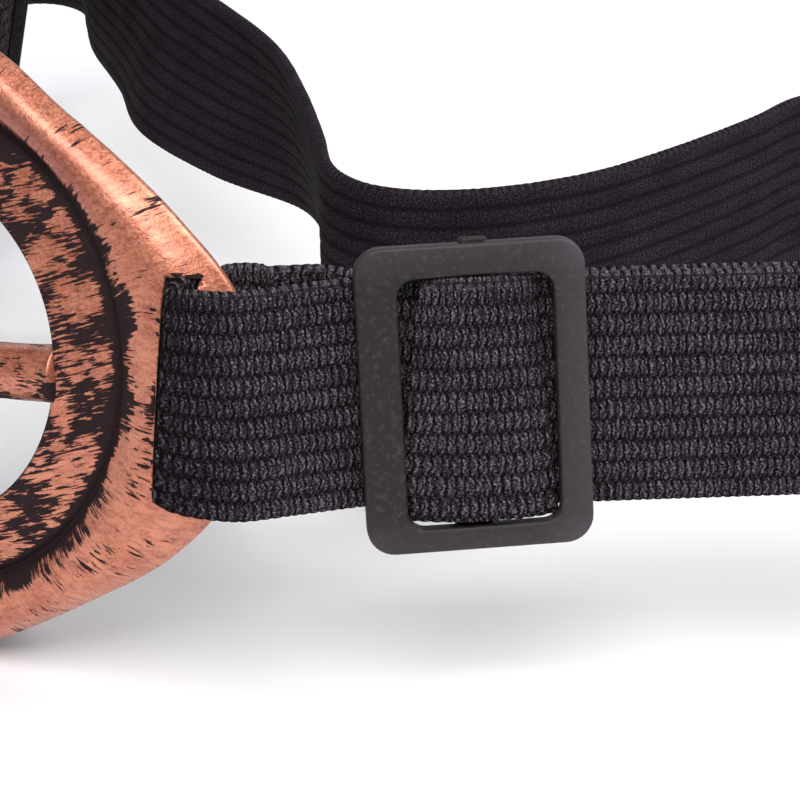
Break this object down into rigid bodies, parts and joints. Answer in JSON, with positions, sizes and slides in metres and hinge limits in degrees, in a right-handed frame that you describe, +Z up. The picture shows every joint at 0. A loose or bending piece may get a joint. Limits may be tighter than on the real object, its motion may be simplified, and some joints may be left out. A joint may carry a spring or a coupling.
{
  "type": "steampunk goggles",
  "caption": "Copper-toned goggles with cross-barred round eyecups, clear lenses, nose bridge and an adjustable woven elastic head strap.",
  "frame": {"origin": "centre of the bounding box in plan, at the floor the goggles stand on", "axes": "+Z up; the goggles look towards -Y and the head strap is behind them on +Y; the wearer's left eyecup is on the +X side of the nose"},
  "size_m": [0.2433, 0.2028, 0.0716],
  "materials": {
    "copper_moulding": "antique copper paint with black dry-brushing",
    "clear_lens": "clear",
    "black_ring": "satin",
    "soft_pad": "soft matte",
    "bridge_rubber": "matte",
    "copper_metal": "copper-plated, worn",
    "woven_elastic": "ribbed weave",
    "slider_plastic": "fine grain"
  },
  "bodies": {
    "left_side": {"left_eyecup": "copper_moulding", "left_lens": "clear_lens", "left_lens_ring": "black_ring", "left_face_pad": "soft_pad", "left_bridge_rivets": "copper_metal", "bridge_strap": "bridge_rubber", "left_strap": "woven_elastic", "rear_strap": "woven_elastic"},
    "right_side": {"right_eyecup": "copper_moulding", "right_lens": "clear_lens", "right_lens_ring": "black_ring", "right_face_pad": "soft_pad", "right_bridge_rivets": "copper_metal", "right_strap": "woven_elastic"},
    "left_slider": {"left_slider": "slider_plastic", "left_slider_fold": "woven_elastic"},
    "right_slider": {"right_slider": "slider_plastic", "right_slider_fold": "woven_elastic"},
    "left_keeper": {"left_keeper": "copper_metal"},
    "right_keeper": {"right_keeper": "copper_metal"}
  },
  "joints": [
    {"name": "bridge_fold", "type": "hinge", "parent": "left_side", "child": "right_side", "pos_m": [0.0277, -0.0993, 0.0363], "axis": [0, 0, 1], "range_deg": [-6, 40], "stiffness_Nm_per_rad": 0.006, "deforming": ["bridge_strap", "rear_strap"]},
    {"name": "left_slider_slide", "type": "slide", "parent": "left_side", "child": "left_slider", "axis": [0.2924, 0.9563, 0], "range_m": [0, 0.016]},
    {"name": "right_slider_slide", "type": "slide", "parent": "right_side", "child": "right_slider", "axis": [-0.9563, 0.2924, 0], "range_m": [0, 0.016]},
    {"name": "left_keeper_slide", "type": "slide", "parent": "left_side", "child": "left_keeper", "axis": [0.2924, 0.9563, 0], "range_m": [-0.0067, 0.0013]},
    {"name": "right_keeper_slide", "type": "slide", "parent": "right_side", "child": "right_keeper", "axis": [-0.9563, 0.2924, 0], "range_m": [-0.0067, 0.0013]}
  ]
}
